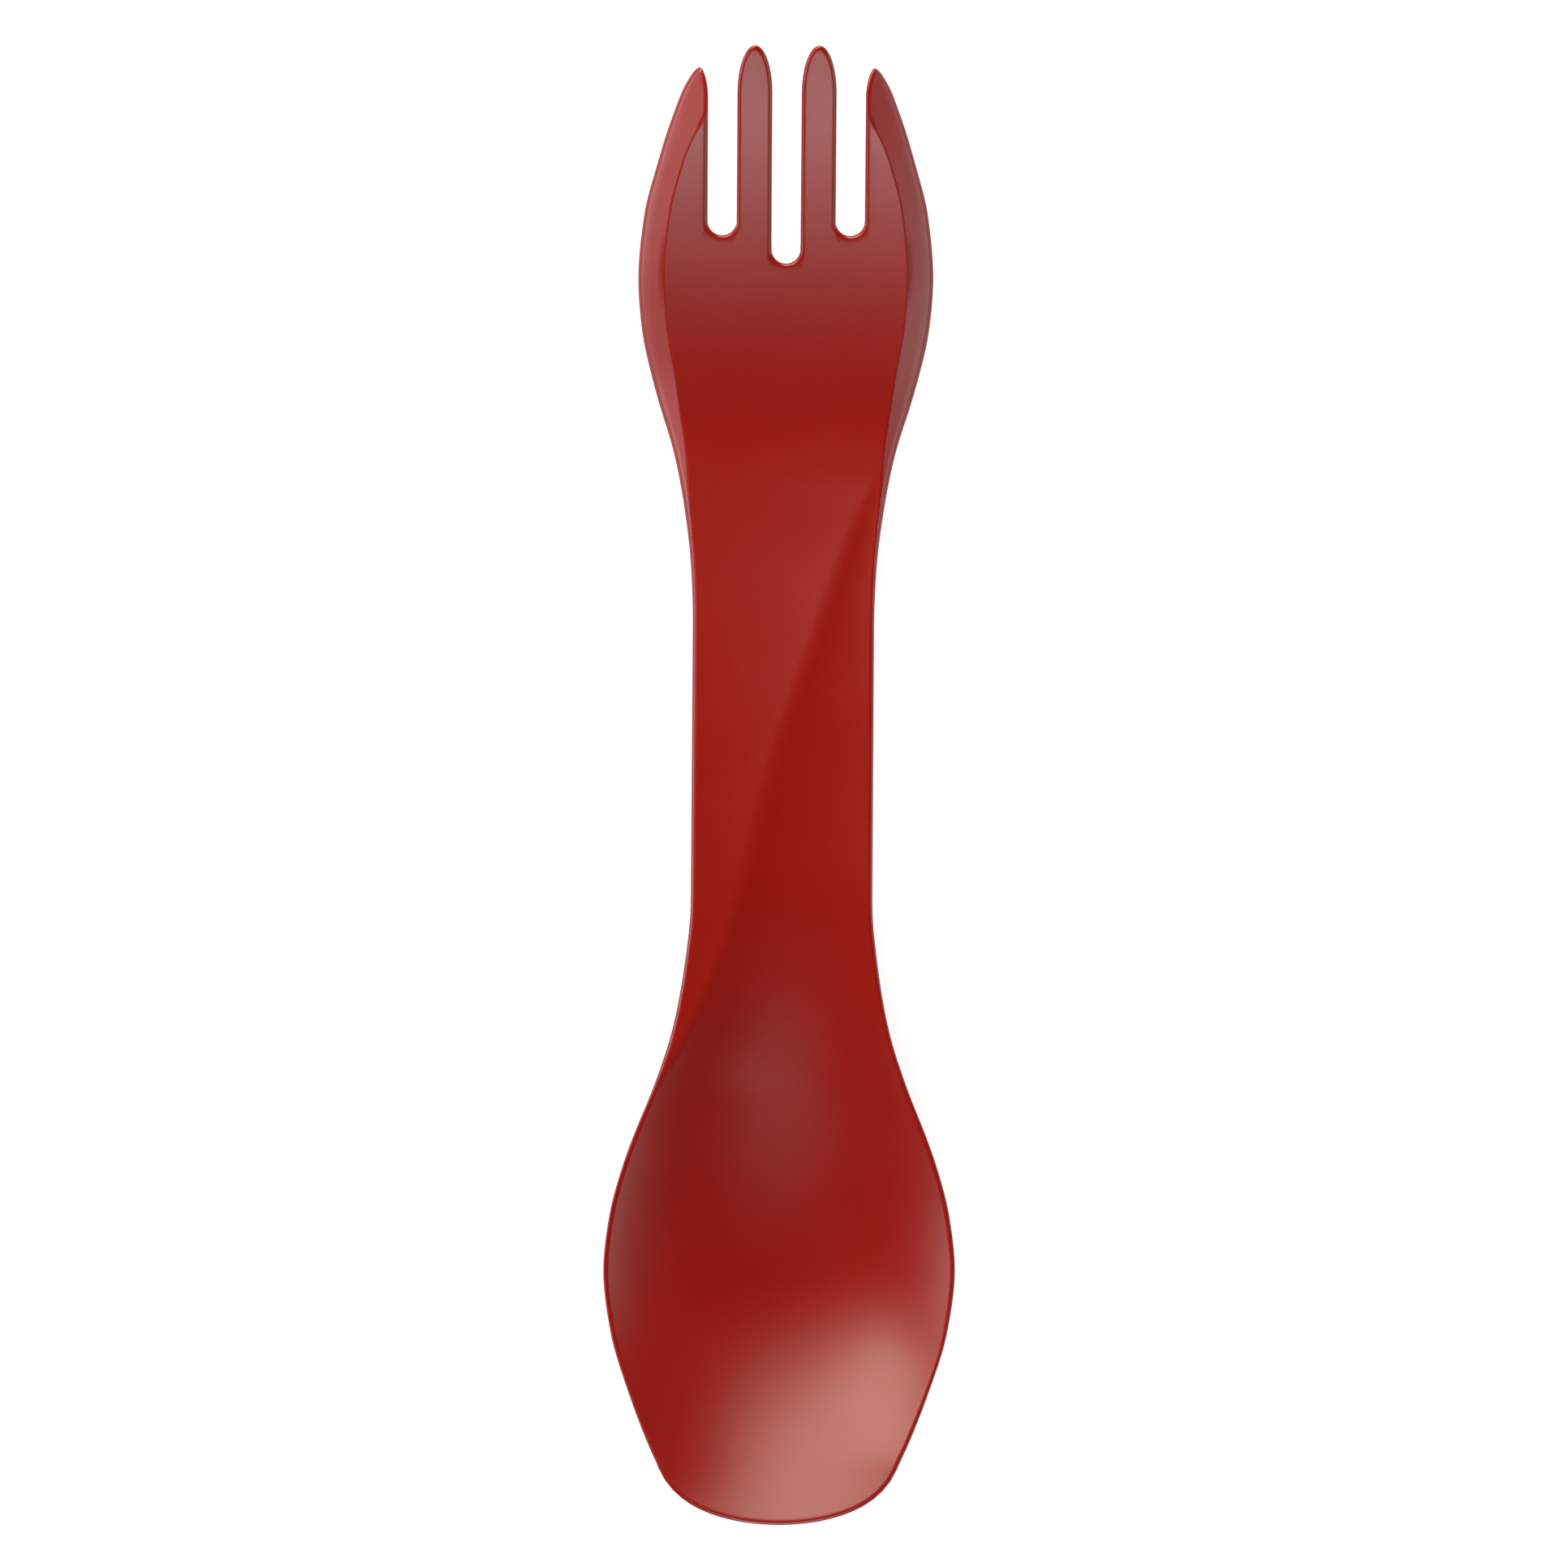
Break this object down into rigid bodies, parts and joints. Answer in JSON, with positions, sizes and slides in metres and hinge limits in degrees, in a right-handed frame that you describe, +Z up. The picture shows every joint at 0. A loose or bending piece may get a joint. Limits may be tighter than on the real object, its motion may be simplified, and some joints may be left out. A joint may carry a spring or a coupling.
{
  "type": "spork",
  "caption": "Spork moulded as a single solid: slotted fork and spoon bowl at opposite ends of a flat handle with a soft diagonal ridge, for eating and stirring.",
  "frame": {"origin": "middle of the length and width, on the surface that the spork rests on", "axes": "+Y along the length towards the tines, +X across the width with the bowl's hollow facing up, +Z up"},
  "size_m": [0.0382, 0.16, 0.016],
  "materials": {
    "moulding": "satin, very fine moulded grain"
  },
  "bodies": {
    "root": {"spork": "moulding"}
  },
  "joints": []
}
